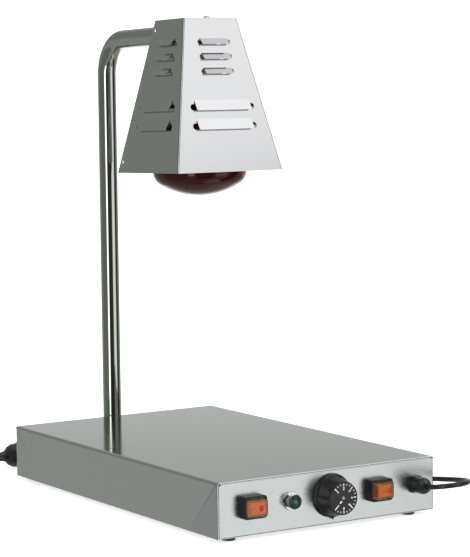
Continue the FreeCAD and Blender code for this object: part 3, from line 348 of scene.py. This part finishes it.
class World:
    """Nodes of the surroundings: windows of light, each a band of azimuth and height."""

    def __init__(self):
        self.world = bpy.data.worlds.new("studio")
        bpy.context.scene.world = self.world
        self.world.use_nodes = True
        self.tree = self.world.node_tree
        way = self.tree.nodes.new("ShaderNodeTexCoord").outputs["Generated"]
        split = self.tree.nodes.new("ShaderNodeSeparateXYZ")
        self.tree.links.new(way, split.inputs[0])
        x, y, z = split.outputs
        self.azimuth = self.maths("MULTIPLY", self.maths("ARCTAN2", x, y), 180 / math.pi)
        self.height = self.maths("MULTIPLY", self.maths("ARCSINE", z), 180 / math.pi)

    def maths(self, kind, a, b=None):
        made = self.tree.nodes.new("ShaderNodeMath")
        made.operation = kind
        for socket, value in zip(made.inputs, (a, b)):
            if isinstance(value, bpy.types.NodeSocket):
                self.tree.links.new(value, socket)
            elif value is not None:
                socket.default_value = value
        return made.outputs[0]

    def step(self, value, low, high, start=0.0, end=1.0):
        """Smooth change from start to end as value goes from low to high."""
        made = self.tree.nodes.new("ShaderNodeMapRange")
        made.interpolation_type = "SMOOTHSTEP"
        self.tree.links.new(value, made.inputs["Value"])
        for socket, number in (("From Min", low), ("From Max", high), ("To Min", start),
                               ("To Max", end)):
            made.inputs[socket].default_value = number
        return made.outputs[0]

    def window(self, azimuths, heights, soft, strength):
        """Light between two azimuths and two heights, in degrees, with soft edges."""
        share = None
        for value, (low, high) in ((self.azimuth, azimuths), (self.height, heights)):
            rise = self.step(value, low - soft, low + soft)
            fall = self.step(value, high - soft, high + soft, 1.0, 0.0)
            band = self.maths("MULTIPLY", rise, fall)
            share = band if share is None else self.maths("MULTIPLY", share, band)
        return self.maths("MULTIPLY", share, strength)

    def without(self, value, window):
        """Value with a dark window cut out of it."""
        return self.maths("MULTIPLY", value, self.maths("SUBTRACT", 1.0, window))

    def finish(self, parts, tint):
        total = parts[0]
        for part in parts[1:]:
            total = self.maths("MAXIMUM", total, part)
        backdrop = self.tree.nodes["Background"]
        backdrop.inputs["Color"].default_value = (*tint, 1.0)
        self.tree.links.new(total, backdrop.inputs["Strength"])


class WARMER_OT_stage(bpy.types.Operator):
    """Camera, pale floor and soft studio light"""

    bl_idname = "warmer.stage"
    bl_label = "Stage"

    def execute(self, context):
        data = bpy.data.cameras.new("camera")
        data.lens = CAMERA_LENS
        data.clip_end = 200.0
        camera = bpy.data.objects.new("camera", data)
        camera.matrix_world = camera_matrix(settings().camera_distance)
        context.scene.collection.objects.link(camera)
        context.scene.camera = camera
        context.scene.view_settings.view_transform = "Standard"
        self.surroundings()
        self.floor()
        for name, place, size, power in LAMPS:
            self.lamp(name, place, size, power)
        return {"FINISHED"}

    def surroundings(self):
        """A grey room with two lit windows, a pale wall behind and dark gaps between them."""
        world = World()
        room = world.step(world.height, *ROOM)
        room = world.maths("MAXIMUM", room, world.window(*OVERHEAD))
        for gap in DARK_GAPS:
            room = world.without(room, world.window(*gap))
        lit = [room] + [world.window(*window) for window in LIT_WINDOWS]
        wall = world.maths("MULTIPLY", world.step(world.height, *WALL), world.window(*WALL_SPAN))
        world.finish(lit + [wall], ROOM_TINT)

    def floor(self):
        """A round floor that curves up into a wall, far round the object."""
        paint = Finish("studio_white", (0.9, 0.9, 0.9), 0.9)
        paint.set("Emission Color", (1.0, 1.0, 1.0, 1.0))
        paint.set("Emission Strength", 0.62)
        paint.vary_colour(paint.noise(2.0), 0.995, 1.005)
        turn = np.linspace(0, math.pi / 2, 16)
        cove = [(FLOOR_R + COVE_R * math.sin(t), COVE_R - COVE_R * math.cos(t)) for t in turn]
        outline = [(0.0, 0.0), (2.0, 0.0), (8.0, 0.0)] + cove + [(FLOOR_R + COVE_R, WALL_TOP)]
        rings, faces = lathe(outline, 128)
        floor = add_piece("floor", rings, faces[:-1], paint.material)
        floor.visible_glossy = False

    def lamp(self, name, place, size, power):
        data = bpy.data.lights.new(name, "AREA")
        data.size = size
        data.energy = power
        light = bpy.data.objects.new(name, data)
        light.location = place
        light.rotation_euler = (AIM - Vector(place)).to_track_quat("-Z", "Y").to_euler()
        light.visible_glossy = False
        bpy.context.scene.collection.objects.link(light)


# ---- base ----
class WARMER_OT_base(bpy.types.Operator):
    """Finishes of the folded steel base, its feet and fixings"""

    bl_idname = "warmer.base"
    bl_label = "Base"

    def execute(self, context):
        colour = tuple(settings().steel_colour)
        wear(satin_steel("plate_steel", colour, "Y", 0.12), "plate_and_sides", "back_panel",
             "bottom_cover")
        # front panel: a bluer tint than the plate's steel, a painted reflection
        wear(satin_steel("panel_steel_painted_reflection", PANEL_PAINTED_REFLECTION, "X", 0.3), "front_panel")
        wear(plated_steel("fixing_steel", (0.60, 0.60, 0.58)), "cover_screws", "foot_screws",
             "strap_screws", "flange_screws", "bracket_rivets", "post_straps", "arm_flange",
             "lampholder_bracket", "pilot_nut", "thermostat_shaft", "knob_screw")
        wear(bright_steel("bright_screws", (0.72, 0.73, 0.72), 0.12), "shade_screws",
             "shade_top_screw")
        wear(moulded("foot_rubber", (0.02, 0.02, 0.02), 0.6), "rubber_feet", "post_grommet",
             "post_cap")
        return {"FINISHED"}


class WARMER_OT_insides(bpy.types.Operator):
    """Finishes of the parts inside the base and the shade"""

    bl_idname = "warmer.insides"
    bl_label = "Insides"

    def execute(self, context):
        wear(satin_steel("rolled_aluminium", (0.75, 0.75, 0.75), "Y", 0.35), "heat_spreader",
             "thermostat_body")
        wear(moulded("heater_rubber", (0.45, 0.10, 0.05), 0.6, 0.05), "heater_mat")
        wear(moulded("glass_fibre", (0.80, 0.77, 0.70), 0.9, 0.2), "insulation_board")
        wear(plated_steel("copper", (0.72, 0.38, 0.24), 0.3), "thermostat_sensor")
        wear(moulded("glazed_ceramic", (0.82, 0.80, 0.75), 0.25), "terminal_block", "lampholder")
        wear(moulded("wire_sleeve", (0.55, 0.14, 0.05), 0.5), "base_wires", "lamp_lead")
        wear(plated_steel("cap_aluminium", (0.78, 0.77, 0.74), 0.25), "bulb_cap")
        wear(plated_steel("tungsten", (0.30, 0.29, 0.27), 0.4), "bulb_filament")
        return {"FINISHED"}


class WARMER_OT_post(bpy.types.Operator):
    """Finish of the bent lamp post"""

    bl_idname = "warmer.post"
    bl_label = "Post"

    def execute(self, context):
        wear(bright_steel("post_steel", (0.47, 0.50, 0.455), 0.05), "lamp_post")
        return {"FINISHED"}


class WARMER_OT_shade(bpy.types.Operator):
    """Finishes of the louvred shade: one steel in two tints, a painted reflection, neutral on the
    front and top, greener and darker on the sides and back
    """

    bl_idname = "warmer.shade"
    bl_label = "Shade"

    def execute(self, context):
        wear(satin_steel("shade_steel", SHADE_FRONT_PAINTED_REFLECTION, "Z", 0.14), "shade_front", "shade_top")
        wear(satin_steel("shade_side_painted_reflection", SHADE_SIDE_PAINTED_REFLECTION, "Z", 0.14), "shade_left", "shade_right",
             "shade_back")
        return {"FINISHED"}


# ---- lamp ----
# Painted reflection: bright red-orange streaks near the bulb's rim stand for the lit shade reflected
# in the glass.
PAINTED_REFLECTION_FROM = 0.404          # the bulb's bright streaks fade in between these heights
PAINTED_REFLECTION_TO = 0.415


class WARMER_OT_lamp(bpy.types.Operator):
    """Dark red glass of the heat bulb, with a painted reflection of bright streaks near the rim"""

    bl_idname = "warmer.lamp"
    bl_label = "Lamp"

    def execute(self, context):
        glass = Finish("red_glass", (0.022, 0.0028, 0.0024), 0.04, 0.0, IOR=1.4)
        # painted reflection: stretched noise, kept to a band near the rim, mixes in a brighter
        # red-orange
        reflection_streaks = glass.noise(26.0, (2.2, 2.2, 0.55), 1.0)
        share = glass.node("ShaderNodeMapRange", {"Value": reflection_streaks, "From Min": 0.60,
                                                  "From Max": 0.70})
        height = glass.node("ShaderNodeSeparateXYZ", {"Vector": glass.place}).outputs[2]
        band = glass.node("ShaderNodeMapRange", {"Value": height, "From Min": PAINTED_REFLECTION_FROM,
                                                 "From Max": PAINTED_REFLECTION_TO})
        painted_glint_mix = glass.node("ShaderNodeMath", {0: share.outputs[0], 1: band.outputs[0]},
                          operation="MULTIPLY")
        glass.mix_colour(painted_glint_mix.outputs[0], glass.colour, (0.30, 0.03, 0.012))
        wear(glass.material, "bulb_glass")
        return {"FINISHED"}


# ---- controls ----
SWITCHES = ((1, -0.1155, -1), (2, 0.073, 1))    # number, place across, which side is pressed
CORE_HALF_W = 0.0092
CORE_HALF_H = 0.0065
OLIVE = (0.16, 0.075, 0.02)
ROCKER_PIVOT = 0.008        # in front of the panel
ROCKER_TIP = math.radians(10.0)
COVER_FACE = 0.01005        # in front of the pivot
DIAL_AXIS = 0.003           # place across
DIAL_FACE = 0.02704         # in front of the panel
DIAL_START = math.radians(-45.0)
DIAL_BARS = 19
DIAL_STEP = math.radians(15.0)


class WARMER_OT_controls(bpy.types.Operator):
    """Finishes of the switches, the pilot lamp and the knob"""

    bl_idname = "warmer.controls"
    bl_label = "Controls"

    def execute(self, context):
        black = moulded("black_plastic", (0.009, 0.009, 0.010), 0.25, IOR=1.38)
        wear(black, "switch_1_frame", "switch_2_frame", "switch_1_body", "switch_2_body",
             "pilot_body", "knob")
        wear(moulded("dial_black", (0.012, 0.012, 0.012), 0.35, IOR=1.4), "knob_dial")
        wear(bright_steel("bezel_chrome", (0.78, 0.78, 0.77), 0.06), "pilot_bezel")
        orange = tuple(settings().rocker_colour)
        for number, x, _ in SWITCHES:
            wear(self.rocker_finish(number, x, orange), "switch_%d_rocker" % number)
        cover = Finish("soft_cover", (0.80, 0.46, 0.22), 0.06, 0.0, IOR=1.38)
        cover.set("Transmission Weight", 0.92)
        cover.vary_gloss(cover.noise(300.0), 0.04, 0.12)
        wear(cover.material, "switch_1_cover", "switch_2_cover")
        lens = Finish("green_lens", (0.015, 0.16, 0.065), 0.15, 0.0, IOR=1.49)
        lens.set("Transmission Weight", 0.3)
        lens.vary_colour(lens.noise(500.0), 0.8, 1.2)
        wear(lens.material, "pilot_lens")
        ink = moulded("white_ink", (0.78, 0.80, 0.80), 0.5)
        self.dial(ink)
        black_ink = moulded("black_ink", (0.03, 0.012, 0.01), 0.5)
        for number, x, side in SWITCHES:
            self.rocker_marks(number, x, side, black_ink)
        return {"FINISHED"}

    def rocker_finish(self, number, x, orange):
        """Orange core round the switch's middle, with an olive band outside its half sizes."""
        rocker = Finish("rocker_%d_orange" % number, orange, 0.3)
        place = rocker.node("ShaderNodeSeparateXYZ", {"Vector": rocker.place}).outputs
        beyond = []
        for value, middle, half in ((place[0], x, CORE_HALF_W),
                                    (place[2], CONTROLS, CORE_HALF_H)):
            off = rocker.node("ShaderNodeMath", {0: value, 1: middle}, operation="SUBTRACT")
            away = rocker.node("ShaderNodeMath", {0: off.outputs[0]}, operation="ABSOLUTE")
            past = rocker.node("ShaderNodeMath", {0: away.outputs[0], 1: half},
                               operation="SUBTRACT")
            beyond.append(past.outputs[0])
        edge = rocker.node("ShaderNodeMath", dict(enumerate(beyond)), operation="MAXIMUM")
        band = rocker.node("ShaderNodeMapRange", {"Value": edge.outputs[0], "From Min": 0.0,
                                                  "From Max": 0.001})
        rocker.mix_colour(band.outputs[0], orange, OLIVE)
        return rocker.material

    def dial(self, ink):
        """Marks on the dial: bars 15 degrees apart, a long one and a numeral every 45."""
        marks = Strokes(NUMERAL_LINE)
        for step in range(DIAL_BARS):
            turn = DIAL_START + DIAL_STEP * step
            long_bar = step % 3 == 0
            inner = 0.0154 if long_bar else 0.0164
            width = 0.0010 if long_bar else 0.0006
            last = step == DIAL_BARS - 1
            marks.bar(turn, 0.0105 if last else inner, 0.0186, width)
            if long_bar and not last:
                marks.numeral(NUMERALS[step // 3], turn, 0.0126)
        marks.bar(turn, 0.0045, 0.0078, 0.0016)
        centre = Vector((DIAL_AXIS, FRONT - DIAL_FACE, CONTROLS))
        made = marks.piece("dial_marks", centre, 0.0, ink)
        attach(made, KNOB)

    def rocker_marks(self, number, x, side, ink):
        """A bar and a ring on the cover's face, which is tipped about the rocker's pivot."""
        marks = Strokes(0.0008)
        marks.add([(-0.0072, 0.0), (-0.0036, 0.0)])
        turn = np.linspace(0, 2 * math.pi, 25)
        marks.add(np.stack([0.0052 + 0.0019 * np.cos(turn), 0.0027 * np.sin(turn)], -1))
        pivot = Vector((x, FRONT - ROCKER_PIVOT, CONTROLS))
        made = marks.piece("switch_%d_marks" % number, pivot, side * ROCKER_TIP, ink,
                           out=COVER_FACE)
        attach(made, "switch_%d" % number)


# ---- power cord ----
CORD_R = 0.0033
COIL_CENTRE = Vector((0.062, 0.36995, 0.0))
COIL_START = math.radians(54.8)
COIL_END = math.radians(95.0 + 3 * 360.0)
COIL_STEPS = 56
MOUTH = Vector((0.132, -0.29055, 0.0))
SIDE = Vector((0.1625, -0.26555, 0.0))
PLUG_FACE = Vector((-0.104, 0.34595, 0.0))

NEAR_GLAND = [(0.0, 0.0, 0.042), (0.0, -0.012, 0.0432), (0.0043, -0.0216, 0.0447),
              (0.0121, -0.0286, 0.046), (0.0221, -0.0319, 0.0467), (0.033, -0.0307, 0.0466),
              (0.0464, -0.0239, 0.0458), (0.0586, -0.0121, 0.0442), (0.0665, 0.0045, 0.0422)]
BESIDE_BASE = [(0.039, -0.0005, 0.0396), (0.037, 0.0205, 0.0372), (0.032, 0.0435, 0.035),
               (0.026, 0.0715, 0.0305), (0.0215, 0.1035, 0.0215), (0.0195, 0.1395, 0.011),
               (0.0201, 0.1775, 0.0044), (0.0229, 0.2175, CORD_R), (0.0271, 0.2635, CORD_R),
               (0.0307, 0.3155, CORD_R), (0.0319, 0.3695, CORD_R), (0.0299, 0.4235, CORD_R),
               (0.0249, 0.4735, CORD_R), (0.0175, 0.5195, CORD_R)]
ROUND_COIL = [(0.108, -0.074, CORD_R), (0.093, -0.038, CORD_R), (0.071, -0.008, CORD_R),
              (0.044, 0.016, CORD_R)]
FROM_COIL = [(-0.026, 0.039, 0.0086), (-0.054, 0.0415, 0.0044), (-0.089, 0.0435, CORD_R),
             (-0.125, 0.0416, CORD_R), (-0.16, 0.0388, CORD_R)]
TO_PLUG = [(-0.028, 0.0622, 0.0035), (-0.056, 0.0585, 0.0045), (-0.077, 0.0485, 0.0065),
           (-0.0885, 0.032, 0.0095), (-0.087, 0.0135, 0.013), (-0.073, 0.002, 0.0172),
           (-0.05, 0.0, 0.0186)]


def ease(low, high, value):
    """Smooth change from 0 to 1 as value goes from low to high."""
    t = np.clip((value - low) / (high - low), 0, 1)
    return t * t * (3 - 2 * t)


def coil_turns():
    """Three turns on a ring: radius and height move over smoothly where a turn ends.

    Point = centre + radius (cos, sin); the first turn lies outside, the second inside it
    and the third on top of the first.
    """
    angle = np.linspace(COIL_START, COIL_END, COIL_STEPS)
    turned = (angle - COIL_START) / (2 * math.pi)
    inward = ease(0.85, 1.05, turned) - ease(1.85, 2.05, turned)
    radius = 0.0396 - 0.0069 * inward
    height = CORD_R + 2 * CORD_R * ease(1.85, 2.05, turned)
    radius = radius / math.cos((angle[1] - angle[0]) / 2)
    return [Vector((r * math.cos(a), r * math.sin(a), h))
            for r, a, h in zip(radius, angle, height)]


def cord_points():
    places = [(MOUTH, NEAR_GLAND), (SIDE, BESIDE_BASE), (COIL_CENTRE, ROUND_COIL),
              (COIL_CENTRE, coil_turns()), (COIL_CENTRE, FROM_COIL), (PLUG_FACE, TO_PLUG)]
    return [start + Vector(p) for start, points in places for p in points]


class WARMER_OT_cord(bpy.types.Operator):
    """Power cord from the gland, round the side, to a neat coil and the plug"""

    bl_idname = "warmer.cord"
    bl_label = "Power cord"

    def execute(self, context):
        points = cord_points()
        data = bpy.data.curves.new("power_lead", "CURVE")
        data.dimensions = "3D"
        data.bevel_depth = settings().cord_diameter / 2
        data.bevel_resolution = 6
        data.resolution_u = 6
        data.use_fill_caps = True
        spline = data.splines.new("NURBS")
        spline.points.add(len(points) - 1)
        for control, p in zip(spline.points, points):
            control.co = (*p, 1.0)
        spline.order_u = 3
        spline.use_endpoint_u = True
        lead = bpy.data.objects.new("power_lead", data)
        context.scene.collection.objects.link(lead)
        data.materials.append(moulded("cord_rubber", (0.010, 0.010, 0.011), 0.3, 0.03))
        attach(lead, BASE)
        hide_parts("power_cord", "cord_tail", "cord_coil")
        black = moulded("gland_nylon", (0.010, 0.010, 0.011), 0.14, IOR=1.62)
        wear(black, "gland_body", "gland_nut", "gland_locknut", "plug_body")
        wear(plated_steel("plug_nickel", (0.72, 0.69, 0.60), 0.2), "plug_pins")
        return {"FINISHED"}


# ---- panel and registration ----
OPERATORS = (WARMER_OT_stage, WARMER_OT_cord, WARMER_OT_base, WARMER_OT_insides, WARMER_OT_post,
             WARMER_OT_shade, WARMER_OT_lamp, WARMER_OT_controls)


class WARMER_PT_tools(bpy.types.Panel):
    """Buttons for every piece of the warmer"""

    bl_label = "Heat Lamp Warmer"
    bl_idname = "WARMER_PT_tools"
    bl_space_type = "VIEW_3D"
    bl_region_type = "UI"
    bl_category = "Warmer"

    def draw(self, context):
        for key in ("steel_colour", "rocker_colour", "cord_diameter", "cord_length",
                    "camera_distance"):
            self.layout.prop(context.scene.warmer, key)
        for operator in OPERATORS:
            self.layout.operator(operator.bl_idname)


CLASSES = (WarmerSettings, WARMER_PT_tools) + OPERATORS


def register():
    for cls in CLASSES:
        bpy.utils.register_class(cls)
    bpy.types.Scene.warmer = bpy.props.PointerProperty(type=WarmerSettings)


def unregister():
    del bpy.types.Scene.warmer
    for cls in reversed(CLASSES):
        bpy.utils.unregister_class(cls)


def main():
    register()
    for operator in OPERATORS:
        group, name = operator.bl_idname.split(".")
        getattr(getattr(bpy.ops, group), name)()


if __name__ == "__main__":
    main()
